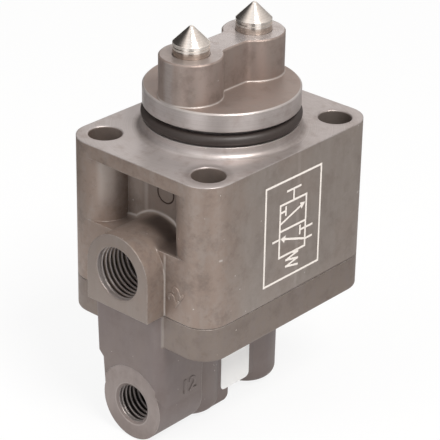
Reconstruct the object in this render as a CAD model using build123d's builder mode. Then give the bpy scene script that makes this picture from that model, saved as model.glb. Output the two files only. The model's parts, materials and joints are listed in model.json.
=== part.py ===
"""Plunger valve with two 3/2 spool trains in a two-piece cast aluminium body.

Millimetres, +Z towards the plungers. The origin is the middle of the mounting
flange's machined face, on the axis of the round spigot. The front outlet port
and the supply port face -Y, and the two plungers stand side by side along Y.
"""
import os
from math import sqrt

from build123d import *

os.makedirs("parts", exist_ok=True)

# Upper casting, seen from above
body_x = 51.0
body_y = 66.0
corner_r = 7.5
upper_height = 40.1
edge_break = 0.35

# Mounting holes through the four corner columns
bolt_edge_x = 7.25
bolt_edge_y = 8.0
bolt_hole_r = 4.5
bolt_hole_chamfer = 0.25

# Two round towers joined by a waist, which guide the plungers
train_y = 12.1
tower_wall = 3.6
tower_height = 11.6
waist_half = 4.4
waist_fillet = 2.6
tower_root_r = 0.35

# Plungers
plunger_r = 4.85
cone_lift = 3.2
tip_r = 1.0
line_below_cone = 0.7
line_width = 0.3
line_depth = 0.2
collar_margin = 1.5
collar_thick = 3.0
stroke = 3.0
running_gap = 0.05
stop_gap = 0.1

# Spigot with its O-ring groove
spigot_margin = 0.4
spigot_height = 12.2
spigot_root_r = 1.8
groove_low = 2.85
groove_high = 7.2
groove_depth = 2.8
flange_ring_proud = 0.4

# Bores for the spool trains
spool_bore_r = 8.0
spool_bore_top = -3.0
spring_bore_r = 6.0
sleeve_seat_depth = 6.2

# Pockets between the columns, under the lip of the flange
flange_lip = 4.0
pocket_sink = 3.3
pocket_wall = 2.9
pocket_bend_x = 5.0
pocket_side_slant = 2.84
pocket_root_r = 1.5

# Outlet ports in the upper casting, one in front and one behind
outlet_boss_r = 10.8
outlet_proud = 6.4
outlet_thread_r = 8.0
outlet_thread_depth = 14.0
outlet_passage_r = 4.5
outlet_mouth = 0.2

# Rod seals in the towers
rod_seal_drop = 7.8
rod_seal_wire = 1.3
seal_groove_play = 0.4

# Sleeves: inner lands carry the seals, wide rooms between them let air pass
sleeve_spare = 0.4
sleeve_land_r = 5.0
sleeve_room_r = 6.2
sleeve_gap = 0.05
guide_land = 6.3
vent_room = 4.5
vent_land = 3.7
outlet_room = 10.5
supply_land = 3.0
sleeve_ring_wire = 1.2
sleeve_belt_r = 7.2
vent_hole_r = 1.3
outlet_hole_r = 2.0
sleeve_holes = 6
vent_drill_r = 2.5

# Spools
stem_r = 2.6
spool_collar_gap = 0.4
spool_collar_wall = 0.9
spool_ring_wire = 1.3
guide_ring_drop = 1.9
lap = 1.3
spool_overrun = 3.5

# Spring seats and return springs
seat_gap = 0.4
seat_thick = 2.0
seat_floor = 1.0
seat_pilot_gap = 0.3
seat_pilot = 2.0
spring_side_gap = 1.0
spring_wire_r = 0.6
spring_turns = 6

# Joint between the castings
gasket_thick = 0.2
gasket_inset = 0.2
gasket_hole_gap = 0.3

# Lower casting: band, supply port block and the two spring barrels
band_height = 9.8
band_edge_r = 0.8
block_proud = 1.3
block_back = 17.5
block_inset = 0.2
block_draft = 0.8
block_pad = 1.6
block_pad_drop = 8.9
block_step_height = 1.6
block_edge_r = 3.0
block_pad_edge_r = 1.0
supply_face_drop = 0.2
supply_boss_r = 10.3
supply_spot_r = 11.3
supply_thread_r = 6.0
supply_thread_depth = 12.0
supply_mouth = 0.4
supply_passage_r = 3.0
supply_floor = 0.5
barrel_length = 30.0
barrel_wall = 2.7
barrel_draft = 0.3
barrel_floor = 5.6
barrel_edge_r = 2.6
web_half = 7.0
web_floor = 2.0
web_foot = 9.0
web_foot_gap = 0.3
web_corner_r = 1.8

# Screws that hold the castings together
screw_edge = 6.0
screw_y = 9.0
screw_r = 2.45
screw_hole_r = 2.75
screw_tap_r = 2.5
screw_length = 15.0
screw_tap_spare = 1.6
screw_head_r = 4.1
screw_head_height = 4.9
screw_head_room = 0.2
screw_socket = 4.0
screw_socket_depth = 2.5

# Blank label on the side of the web
label_front_gap = 0.8
label_rear_gap = 1.5
label_drop = 1.2
label_below_web = 0.3
label_thick = 0.12
label_corner_r = 1.5

# Places that follow from the sizes above
seam_z = -upper_height
lower_top = seam_z - gasket_thick
band_bottom = lower_top - band_height
bolt_x = body_x - 2 * bolt_edge_x
bolt_y = body_y - 2 * bolt_edge_y
screw_x = body_x / 2 - screw_edge
head_bottom = band_bottom + screw_head_room
head_top = head_bottom + screw_head_height
screw_tap_depth = head_top + screw_length - seam_z + screw_tap_spare
tower_r = plunger_r + tower_wall
tower_top = spigot_height + tower_height
cone_base = tower_top + cone_lift
spigot_r = train_y + tower_r + spigot_margin
groove_r = spigot_r - groove_depth
flange_ring_wire = groove_depth + flange_ring_proud
collar_r = spool_bore_r - collar_margin
rod_seal_z = tower_top - rod_seal_drop
pocket_wall_y = train_y + spool_bore_r + pocket_wall
outlet_z = seam_z + outlet_boss_r
pocket_floor = outlet_z + outlet_boss_r - pocket_sink
outlet_face_y = body_y / 2 + outlet_proud
barrel_end = band_bottom - barrel_length
barrel_r = spring_bore_r + barrel_wall
spring_bore_bottom = barrel_end + barrel_floor
supply_z = spring_bore_bottom + supply_passage_r + supply_floor
block_front_y = body_y / 2 + block_proud
block_half = supply_boss_r - block_inset
supply_face_y = block_front_y - supply_face_drop
web_low = supply_z - supply_passage_r - web_floor
sleeve_seat_z = lower_top - sleeve_seat_depth
sleeve_r = spool_bore_r - sleeve_gap
collar_top = spool_bore_top - stop_gap
collar_bottom = collar_top - collar_thick
sleeve_top = collar_bottom - stroke - sleeve_spare
guide_land_end = sleeve_top - guide_land
vent_land_top = guide_land_end - vent_room
vent_land_end = vent_land_top - vent_land
supply_land_top = vent_land_end - outlet_room
supply_land_end = supply_land_top - supply_land
vent_z = (guide_land_end + vent_land_top) / 2
sleeve_ring_heights = (
    (sleeve_top + guide_land_end) / 2,
    (vent_land_top + vent_land_end) / 2,
    (supply_land_top + supply_land_end) / 2,
)
spool_ring_heights = (sleeve_top - guide_ring_drop, vent_land_top + lap, supply_land_top - lap)
spool_end = sleeve_seat_z - spool_overrun
spool_collar_r = sleeve_land_r - spool_collar_gap
seat_r = spring_bore_r - seat_gap
spring_mean_r = spring_bore_r - spring_side_gap - spring_wire_r
seat_pilot_r = spring_mean_r - spring_wire_r - seat_pilot_gap
trains = (("front", -1), ("rear", 1))


def facing(side, distance):
    """Plane square to Y at a distance from the axis, looking outwards on that side."""
    return Plane(origin=(0, side * distance, 0), x_dir=(-side, 0, 0), z_dir=(0, side, 0))


def train_axis(side):
    return Axis((0, side * train_y, 0), (0, 0, 1))


def train_section(side):
    """Half-section plane of one train: local x is the radius, local y is the height."""
    return Plane(origin=(0, side * train_y, 0), x_dir=(1, 0, 0), z_dir=(0, -1, 0))


def circles(part, radius, height):
    """Circular edges of one radius that lie at one height."""
    found = part.edges().filter_by(GeomType.CIRCLE)
    found = found.filter_by(lambda edge: abs(edge.radius - radius) < 0.001)
    return found.filter_by(lambda edge: abs(edge.center().Z - height) < 0.001)


def mouths(part, radius, distance):
    """Circular edges of one radius on the faces at a distance in front and behind."""
    found = part.edges().filter_by(GeomType.CIRCLE)
    found = found.filter_by(lambda edge: abs(edge.radius - radius) < 0.001)
    return found.filter_by(lambda edge: abs(abs(edge.center().Y) - distance) < 0.001)


def save(part, name):
    part.label = name
    export_step(part, f"parts/{name}.step")


# Space of the two pockets, which leaves the round backs of the outlet bosses standing
column_x = body_x / 2 - corner_r
column_y = body_y / 2 - corner_r
pocket_side_y = pocket_wall_y + pocket_side_slant
pocket_mouth_y = body_y / 2 + 1
boss_half_chord = sqrt(outlet_boss_r**2 - (outlet_boss_r - pocket_sink) ** 2)
pocket_floor_width = column_x - corner_r - boss_half_chord

with BuildPart() as pockets:
    for side in (-1, 1):
        with BuildSketch(Plane.XY.offset(pocket_floor)):
            with BuildLine():
                Polyline(
                    (-column_x, side * pocket_mouth_y),
                    (-column_x, side * pocket_side_y),
                    (-pocket_bend_x, side * pocket_wall_y),
                    (pocket_bend_x, side * pocket_wall_y),
                    (column_x, side * pocket_side_y),
                    (column_x, side * pocket_mouth_y),
                    close=True,
                )
            make_face()
            with Locations((-column_x, side * column_y), (column_x, side * column_y)):
                Circle(corner_r, mode=Mode.SUBTRACT)
        extrude(amount=-flange_lip - pocket_floor)
        with BuildSketch(facing(side, train_y)):
            with Locations((0, outlet_z)):
                Circle(outlet_boss_r)
        extrude(amount=body_y / 2, mode=Mode.SUBTRACT)
    pocket_roots = pockets.edges().filter_by(
        lambda edge: edge.center().Z < outlet_z + outlet_boss_r + 0.01
        and abs(edge.center().X) < column_x - corner_r
        and abs(edge.center().Y) < body_y / 2 - 1
    )
    fillet(pocket_roots, min(pocket_root_r, 0.6 * pocket_floor_width))

# Upper housing
rod_seal_centre = plunger_r + running_gap + rod_seal_wire / 2
rod_groove_r = rod_seal_centre + rod_seal_wire / 2
rod_groove_width = rod_seal_wire + seal_groove_play

with BuildPart() as upper_housing:
    with BuildSketch(Plane.XY.offset(seam_z)):
        RectangleRounded(body_x, body_y, corner_r)
    extrude(amount=upper_height)
    add(pockets.part, mode=Mode.SUBTRACT)
    for side in (-1, 1):
        with BuildSketch(facing(side, spool_bore_r + train_y)):
            with BuildLine():
                Polyline(
                    (-outlet_boss_r, outlet_z),
                    (-outlet_boss_r, seam_z),
                    (outlet_boss_r, seam_z),
                    (outlet_boss_r, outlet_z),
                )
                RadiusArc((-outlet_boss_r, outlet_z), (outlet_boss_r, outlet_z), outlet_boss_r)
            make_face()
        extrude(amount=outlet_face_y - spool_bore_r - train_y)
    with BuildSketch():
        Circle(spigot_r)
    extrude(amount=spigot_height)
    fillet(circles(upper_housing, spigot_r, 0), spigot_root_r)
    with BuildSketch(Plane.XY.offset(groove_low)):
        Circle(spigot_r + 1)
        Circle(groove_r, mode=Mode.SUBTRACT)
    extrude(amount=groove_high - groove_low, mode=Mode.SUBTRACT)
    with BuildSketch(Plane.XY.offset(spigot_height)) as towers:
        with Locations((0, -train_y), (0, train_y)):
            Circle(tower_r)
        Rectangle(2 * waist_half, 2 * train_y)
        inner = towers.vertices().filter_by(lambda point: abs(abs(point.X) - waist_half) < 0.001)
        fillet(inner, waist_fillet)
    extrude(amount=tower_top - spigot_height)
    tower_foot = upper_housing.faces().filter_by(Plane.XY).filter_by(
        lambda face: abs(face.center().Z - spigot_height) < 0.001
    )
    fillet(tower_foot.sort_by(SortBy.AREA)[-1].inner_wires()[0].edges(), tower_root_r)
    with BuildSketch(Plane.XZ):
        with BuildLine():
            Polyline(
                (spigot_r - edge_break, spigot_height),
                (spigot_r + 1, spigot_height),
                (spigot_r + 1, spigot_height - edge_break - 1),
                close=True,
            )
        make_face()
    revolve(axis=Axis.Z, mode=Mode.SUBTRACT)
    tower_rim = upper_housing.faces().filter_by(Plane.XY).sort_by(Axis.Z)[-1].edges()
    chamfer(tower_rim, edge_break)
    with BuildSketch(Plane.XY.offset(spool_bore_top)):
        with Locations((0, -train_y), (0, train_y)):
            Circle(plunger_r + running_gap)
    extrude(amount=tower_top - spool_bore_top, mode=Mode.SUBTRACT)
    with BuildSketch(Plane.XY.offset(rod_seal_z - rod_groove_width / 2)):
        with Locations((0, -train_y), (0, train_y)):
            Circle(rod_groove_r)
    extrude(amount=rod_groove_width, mode=Mode.SUBTRACT)
    with BuildSketch(Plane.XY.offset(seam_z)):
        with Locations((0, -train_y), (0, train_y)):
            Circle(spool_bore_r)
    extrude(amount=upper_height + spool_bore_top, mode=Mode.SUBTRACT)
    with BuildSketch(Plane.XY.offset(seam_z)):
        with GridLocations(bolt_x, bolt_y, 2, 2):
            Circle(bolt_hole_r)
    extrude(amount=upper_height, mode=Mode.SUBTRACT)
    chamfer(circles(upper_housing, bolt_hole_r, 0), bolt_hole_chamfer)
    with BuildSketch(Plane.XY.offset(seam_z)):
        with GridLocations(2 * screw_x, 2 * screw_y, 2, 2):
            Circle(screw_tap_r)
    extrude(amount=screw_tap_depth, mode=Mode.SUBTRACT)
    for side in (-1, 1):
        with BuildSketch(facing(side, outlet_face_y)):
            with Locations((0, outlet_z)):
                Circle(outlet_thread_r)
        extrude(amount=-outlet_thread_depth, mode=Mode.SUBTRACT)
        with BuildSketch(facing(side, outlet_face_y)):
            with Locations((0, outlet_z)):
                Circle(outlet_passage_r)
        extrude(amount=train_y - outlet_face_y, mode=Mode.SUBTRACT)
        with BuildSketch(Plane(origin=(-body_x / 2, 0, 0), x_dir=(0, -1, 0), z_dir=(-1, 0, 0))):
            with Locations((-side * train_y, vent_z)):
                Circle(vent_drill_r)
        extrude(amount=-body_x / 2, mode=Mode.SUBTRACT)
    chamfer(mouths(upper_housing, outlet_thread_r, outlet_face_y), outlet_mouth)
save(upper_housing.part, "upper_housing")

# Lower housing
block_step_z = band_bottom - block_pad_drop
block_low_z = block_step_z - block_step_height
block_shoulder = block_half + block_draft
block_wide = block_shoulder + block_pad
foot_low = barrel_end + web_foot_gap
foot_back_y = web_foot - train_y

with BuildPart() as lower_housing:
    with BuildSketch(Plane.XY.offset(band_bottom)):
        RectangleRounded(body_x, body_y, corner_r)
    extrude(amount=band_height)
    fillet(lower_housing.faces().sort_by(Axis.Z)[0].edges(), band_edge_r)
    with BuildSketch(facing(-1, block_back)):
        with BuildLine():
            Polyline(
                (-block_wide - block_draft, lower_top),
                (-block_wide, block_step_z),
                (-block_shoulder, block_low_z),
                (-block_half, supply_z),
                (block_half, supply_z),
                (block_shoulder, lower_top),
                close=True,
            )
        make_face()
    extrude(amount=block_front_y - block_back)
    block_front = lower_housing.faces().sort_by(Axis.Y)[0]
    fillet(block_front.edges().sort_by(Axis.X)[-1], block_edge_r)
    block_front = lower_housing.faces().sort_by(Axis.Y)[0]
    fillet(block_front.edges().filter_by(lambda edge: edge.center().X < -block_half), block_pad_edge_r)
    with BuildSketch(facing(-1, block_back)):
        with Locations((0, supply_z)):
            Circle(supply_boss_r)
    extrude(amount=supply_face_y - block_back)
    with BuildSketch(facing(-1, supply_face_y)):
        with Locations((0, supply_z)):
            Circle(supply_spot_r)
    extrude(amount=block_front_y - supply_face_y + 1, mode=Mode.SUBTRACT)
    with BuildSketch(Plane.YZ) as web:
        with BuildLine():
            Polyline(
                (-train_y, lower_top),
                (-train_y, foot_low),
                (foot_back_y, foot_low),
                (foot_back_y, web_low),
                (train_y, web_low),
                (train_y, lower_top),
                close=True,
            )
        make_face()
        fillet(web.vertices().sort_by(Axis.Y)[:2].sort_by(Axis.X)[-1], web_corner_r)
    extrude(amount=web_half, both=True)
    for side in (-1, 1):
        with BuildSketch(train_section(side)) as barrel:
            with BuildLine():
                Polyline(
                    (0, lower_top),
                    (barrel_r, lower_top),
                    (barrel_r - barrel_draft, barrel_end),
                    (0, barrel_end),
                    close=True,
                )
            make_face()
            fillet(barrel.vertices().sort_by(Axis.Y)[:2].sort_by(Axis.X)[-1], barrel_edge_r)
        revolve(axis=train_axis(side))
    with BuildSketch(Plane.XY.offset(spring_bore_bottom)):
        with Locations((0, -train_y), (0, train_y)):
            Circle(spring_bore_r)
    extrude(amount=lower_top - spring_bore_bottom, mode=Mode.SUBTRACT)
    with BuildSketch(Plane.XY.offset(sleeve_seat_z)):
        with Locations((0, -train_y), (0, train_y)):
            Circle(spool_bore_r)
    extrude(amount=lower_top - sleeve_seat_z, mode=Mode.SUBTRACT)
    with BuildSketch(Plane.XY.offset(band_bottom)):
        with GridLocations(bolt_x, bolt_y, 2, 2):
            Circle(bolt_hole_r)
        with GridLocations(2 * screw_x, 2 * screw_y, 2, 2):
            Circle(screw_hole_r)
    extrude(amount=lower_top - band_bottom, mode=Mode.SUBTRACT)
    with BuildSketch(Plane.XY.offset(band_bottom)):
        with GridLocations(2 * screw_x, 2 * screw_y, 2, 2):
            Circle(screw_head_r + screw_head_room)
    extrude(amount=screw_head_height + screw_head_room, mode=Mode.SUBTRACT)
    with BuildSketch(facing(-1, supply_face_y)):
        with Locations((0, supply_z)):
            Circle(supply_thread_r)
    extrude(amount=-supply_thread_depth, mode=Mode.SUBTRACT)
    with BuildSketch(facing(-1, supply_face_y)):
        with Locations((0, supply_z)):
            Circle(supply_passage_r)
    extrude(amount=-supply_face_y - train_y, mode=Mode.SUBTRACT)
    chamfer(mouths(lower_housing, supply_thread_r, supply_face_y), supply_mouth)
save(lower_housing.part, "lower_housing")

# Gasket between the castings
with BuildPart() as joint_gasket:
    with BuildSketch(Plane.XY.offset(lower_top)):
        RectangleRounded(body_x - 2 * gasket_inset, body_y - 2 * gasket_inset, corner_r - gasket_inset)
        with Locations((0, -train_y), (0, train_y)):
            Circle(spool_bore_r, mode=Mode.SUBTRACT)
        with GridLocations(bolt_x, bolt_y, 2, 2):
            Circle(bolt_hole_r + gasket_hole_gap, mode=Mode.SUBTRACT)
        with GridLocations(2 * screw_x, 2 * screw_y, 2, 2):
            Circle(screw_hole_r, mode=Mode.SUBTRACT)
    extrude(amount=gasket_thick)
save(joint_gasket.part, "joint_gasket")

# Ring in the spigot groove, lying on the groove's floor and its lower side
with BuildPart() as flange_o_ring:
    with BuildSketch(Plane.XZ):
        with Locations((groove_r + flange_ring_wire / 2, groove_low + flange_ring_wire / 2)):
            Circle(flange_ring_wire / 2)
    revolve(axis=Axis.Z)
save(flange_o_ring.part, "flange_o_ring")

# Joint screws, put in from below
with BuildPart() as joint_screws:
    with BuildSketch(Plane.XY.offset(head_bottom)):
        with GridLocations(2 * screw_x, 2 * screw_y, 2, 2):
            Circle(screw_head_r)
    extrude(amount=screw_head_height)
    with BuildSketch(Plane.XY.offset(head_top)):
        with GridLocations(2 * screw_x, 2 * screw_y, 2, 2):
            Circle(screw_r)
    extrude(amount=screw_length)
    with BuildSketch(Plane.XY.offset(head_bottom)):
        with GridLocations(2 * screw_x, 2 * screw_y, 2, 2):
            RegularPolygon(screw_socket / 2, 6, major_radius=False)
    extrude(amount=screw_socket_depth, mode=Mode.SUBTRACT)
save(joint_screws.part, "joint_screws")

# Blank label on the side of the web, between the barrels
flank = sqrt(barrel_r**2 - web_half**2)
label_front = flank - train_y + label_front_gap
label_rear = train_y - flank - label_rear_gap
label_low = web_low - label_below_web
label_high = band_bottom - label_drop
with BuildPart() as blank_label:
    with BuildSketch(Plane.YZ.offset(web_half)):
        with Locations(((label_front + label_rear) / 2, (label_low + label_high) / 2)):
            RectangleRounded(label_rear - label_front, label_high - label_low, label_corner_r)
    extrude(amount=label_thick)
save(blank_label.part, "blank_label")

# Values that both trains share
cone_apex = cone_base + plunger_r
tip_centre = cone_apex - tip_r * sqrt(2)
tip_touch = tip_r / sqrt(2)
line_top = cone_base - line_below_cone
ring_centre = sleeve_land_r - running_gap - spool_ring_wire / 2
ring_floor = ring_centre - spool_ring_wire / 2
ring_room = spool_ring_wire + seal_groove_play
seat_bottom = spool_end + seat_floor - seat_thick
spring_length = seat_bottom - spring_bore_bottom

for name, side in trains:
    # Plunger with a pointed head, a marking line and a stop collar
    with BuildPart() as plunger:
        with BuildSketch(train_section(side)):
            with BuildLine():
                Polyline(
                    (0, collar_bottom),
                    (collar_r, collar_bottom),
                    (collar_r, collar_top),
                    (plunger_r, collar_top),
                    (plunger_r, line_top - line_width),
                    (plunger_r - line_depth, line_top - line_width),
                    (plunger_r - line_depth, line_top),
                    (plunger_r, line_top),
                    (plunger_r, cone_base),
                    (tip_touch, tip_centre + tip_touch),
                )
                RadiusArc((tip_touch, tip_centre + tip_touch), (0, tip_centre + tip_r), -tip_r)
                Line((0, tip_centre + tip_r), (0, collar_bottom))
            make_face()
        revolve(axis=train_axis(side))
    save(plunger.part, f"{name}_plunger")

    with BuildPart() as rod_seal:
        with BuildSketch(train_section(side)):
            with Locations((rod_seal_centre, rod_seal_z)):
                Circle(rod_seal_wire / 2)
        revolve(axis=train_axis(side))
    save(rod_seal.part, f"{name}_rod_seal")

    # Sleeve with three inner lands, two outer belts and its cross holes
    with BuildPart() as sleeve:
        with BuildSketch(Plane.XY.offset(sleeve_seat_z)):
            with Locations((0, side * train_y)):
                Circle(sleeve_r)
                Circle(sleeve_land_r, mode=Mode.SUBTRACT)
        extrude(amount=sleeve_top - sleeve_seat_z)
        rooms = (
            (guide_land_end, vent_land_top),
            (vent_land_end, supply_land_top),
            (supply_land_end, sleeve_seat_z),
        )
        for high, low in rooms:
            with BuildSketch(Plane.XY.offset(low)):
                with Locations((0, side * train_y)):
                    Circle(sleeve_room_r)
            extrude(amount=high - low, mode=Mode.SUBTRACT)
        belts = ((vent_z, vent_hole_r), (outlet_z, outlet_hole_r))
        for height, hole_r in belts:
            with BuildSketch(Plane.XY.offset(height - hole_r)):
                with Locations((0, side * train_y)):
                    Circle(spool_bore_r)
                    Circle(sleeve_belt_r, mode=Mode.SUBTRACT)
            extrude(amount=2 * hole_r, mode=Mode.SUBTRACT)
            with Locations((0, side * train_y, height)):
                with PolarLocations(0, sleeve_holes // 2, angular_range=180):
                    Cylinder(hole_r, 2 * spool_bore_r, rotation=(0, 90, 0), mode=Mode.SUBTRACT)
        for height in sleeve_ring_heights:
            with BuildSketch(Plane.XY.offset(height - sleeve_ring_wire / 2)):
                with Locations((0, side * train_y)):
                    Circle(spool_bore_r)
                    Circle(spool_bore_r - sleeve_ring_wire, mode=Mode.SUBTRACT)
            extrude(amount=sleeve_ring_wire, mode=Mode.SUBTRACT)
    save(sleeve.part, f"{name}_sleeve")

    with BuildPart() as sleeve_seals:
        with BuildSketch(train_section(side)):
            for height in sleeve_ring_heights:
                with Locations((spool_bore_r - sleeve_ring_wire / 2, height)):
                    Circle(sleeve_ring_wire / 2)
        revolve(axis=train_axis(side))
    save(sleeve_seals.part, f"{name}_sleeve_seals")

    # Spool: a stem with a pair of collars round each seal
    with BuildPart() as spool:
        with BuildSketch(Plane.XY.offset(spool_end)):
            with Locations((0, side * train_y)):
                Circle(stem_r)
        extrude(amount=collar_bottom - spool_end)
        for height in spool_ring_heights:
            with BuildSketch(Plane.XY.offset(height - ring_room / 2 - spool_collar_wall)):
                with Locations((0, side * train_y)):
                    Circle(spool_collar_r)
            extrude(amount=ring_room + 2 * spool_collar_wall)
            with BuildSketch(Plane.XY.offset(height - ring_room / 2)):
                with Locations((0, side * train_y)):
                    Circle(spool_collar_r)
                    Circle(ring_floor, mode=Mode.SUBTRACT)
            extrude(amount=ring_room, mode=Mode.SUBTRACT)
    save(spool.part, f"{name}_spool")

    with BuildPart() as spool_seals:
        with BuildSketch(train_section(side)):
            for height in spool_ring_heights:
                with Locations((ring_centre, height)):
                    Circle(spool_ring_wire / 2)
        revolve(axis=train_axis(side))
    save(spool_seals.part, f"{name}_spool_seals")

    # Seat that caps the spool and centres the spring
    with BuildPart() as spring_seat:
        with BuildSketch(Plane.XY.offset(seat_bottom)):
            with Locations((0, side * train_y)):
                Circle(seat_r)
        extrude(amount=seat_thick)
        with BuildSketch(Plane.XY.offset(seat_bottom)):
            with Locations((0, side * train_y)):
                Circle(seat_pilot_r)
        extrude(amount=-seat_pilot)
        with BuildSketch(Plane.XY.offset(spool_end)):
            with Locations((0, side * train_y)):
                Circle(stem_r)
        extrude(amount=seat_floor, mode=Mode.SUBTRACT)
    save(spring_seat.part, f"{name}_spring_seat")

    # Return spring between the seat and the blind end of its bore
    with BuildPart() as return_spring:
        with BuildLine(Plane(origin=(0, side * train_y, spring_bore_bottom + spring_wire_r))):
            coil = Helix(
                pitch=(spring_length - 2 * spring_wire_r) / spring_turns,
                height=spring_length - 2 * spring_wire_r,
                radius=spring_mean_r,
            )
        with BuildSketch(Plane(origin=coil @ 0, z_dir=coil % 0)):
            Circle(spring_wire_r)
        sweep(path=coil, is_frenet=True)
    save(return_spring.part, f"{name}_return_spring")
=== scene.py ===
"""Looks of the plunger valve: cast and machined aluminium, bright plungers, rubber ring."""
import json
import math

import bpy
from mathutils import Matrix, Vector


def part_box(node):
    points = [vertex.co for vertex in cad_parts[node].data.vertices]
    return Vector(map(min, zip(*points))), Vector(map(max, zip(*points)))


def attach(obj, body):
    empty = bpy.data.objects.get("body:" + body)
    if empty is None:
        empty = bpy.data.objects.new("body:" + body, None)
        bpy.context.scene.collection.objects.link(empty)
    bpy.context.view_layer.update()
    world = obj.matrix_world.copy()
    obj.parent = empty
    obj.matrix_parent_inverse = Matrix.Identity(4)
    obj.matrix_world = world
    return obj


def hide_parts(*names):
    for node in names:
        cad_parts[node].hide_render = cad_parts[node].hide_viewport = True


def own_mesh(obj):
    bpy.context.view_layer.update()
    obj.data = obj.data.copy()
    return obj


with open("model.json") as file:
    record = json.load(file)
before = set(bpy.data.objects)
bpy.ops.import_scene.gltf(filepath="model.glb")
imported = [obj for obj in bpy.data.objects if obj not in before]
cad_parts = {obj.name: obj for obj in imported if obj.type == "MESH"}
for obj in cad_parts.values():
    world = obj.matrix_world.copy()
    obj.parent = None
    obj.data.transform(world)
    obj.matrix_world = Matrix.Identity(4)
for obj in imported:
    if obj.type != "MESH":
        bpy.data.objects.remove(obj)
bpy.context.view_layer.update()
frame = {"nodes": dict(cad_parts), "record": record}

# Sizes in metres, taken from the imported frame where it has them
MM = 0.001
mounts = {mount["name"]: mount for mount in frame["record"]["mounts"]}
outlet_port = mounts["upper_front_port"]
supply_port = mounts["supply_port"]
flange_bolts = mounts["flange_bolts"]["dims"]
upper_low, upper_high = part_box("upper_housing")
lower_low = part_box("lower_housing")[0]
plunger_low, plunger_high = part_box("front_plunger")

flange_half_x = upper_high[0]
seam_z = upper_low[2]
outlet_face_y = upper_high[1]
outlet_z = outlet_port["pos_m"][2]
outlet_r = outlet_port["dims"]["r_mm"] * MM
supply_z = supply_port["pos_m"][2]
supply_r = supply_port["dims"]["r_mm"] * MM
band_z = mounts["band_bolts"]["pos_m"][2]
bolt_x = flange_bolts["spacing_x_mm"] * MM / 2
bolt_y = flange_bolts["spacing_y_mm"] * MM / 2
bolt_r = flange_bolts["hole_r_mm"] * MM
spigot_r = mounts["spigot"]["dims"]["r_mm"] * MM
train_y = -(plunger_low[1] + plunger_high[1]) / 2

# Sizes of the solids that the frame doesn't list
column_front_y = 33.0 * MM
boss_half = 10.8 * MM
boss_root_r = boss_half + 0.9 * MM
boss_root_z = outlet_z + 8.5 * MM
boss_shoulder_x = 8.0 * MM
pocket_wall_y = 23.0 * MM
pocket_wall_half = 5.0 * MM
pocket_wall_slant = 0.214
supply_face_y = 34.1 * MM
spot_face_r = 11.2 * MM
block_half_x = 10.3 * MM
spigot_foot_z = 5.0 * MM
spigot_top = 12.2 * MM
tower_top = 23.8 * MM
plunger_r = 4.85 * MM
mark_line_z = tower_top + 2.4 * MM

# Sizes of what only the looks have
thread_pitch = 1.5 * MM
thread_depth = thread_pitch * 0.54
mouth_land_r = outlet_r - thread_depth + 0.12 * MM
supply_land_r = supply_r - thread_depth + 0.08 * MM
ridge_foot_share = 0.86
ridge_crest_share = 0.28
ridge_sunk = 0.02 * MM
spring_wire_r = 0.6 * MM
spring_turns = 6


class Value:
    """A number that changes over a surface, written with Python's own arithmetic."""

    def __init__(self, finish, socket):
        self.finish = finish
        self.socket = socket

    def __add__(self, other):
        return self.finish.math("ADD", self, other)

    __radd__ = __add__

    def __sub__(self, other):
        return self.finish.math("SUBTRACT", self, other)

    def __rsub__(self, other):
        return self.finish.math("SUBTRACT", other, self)

    def __mul__(self, other):
        return self.finish.math("MULTIPLY", self, other)

    __rmul__ = __mul__

    def __truediv__(self, other):
        return self.finish.math("DIVIDE", self, other)

    def __abs__(self):
        return self.finish.math("ABSOLUTE", self, 0.0)


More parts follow.
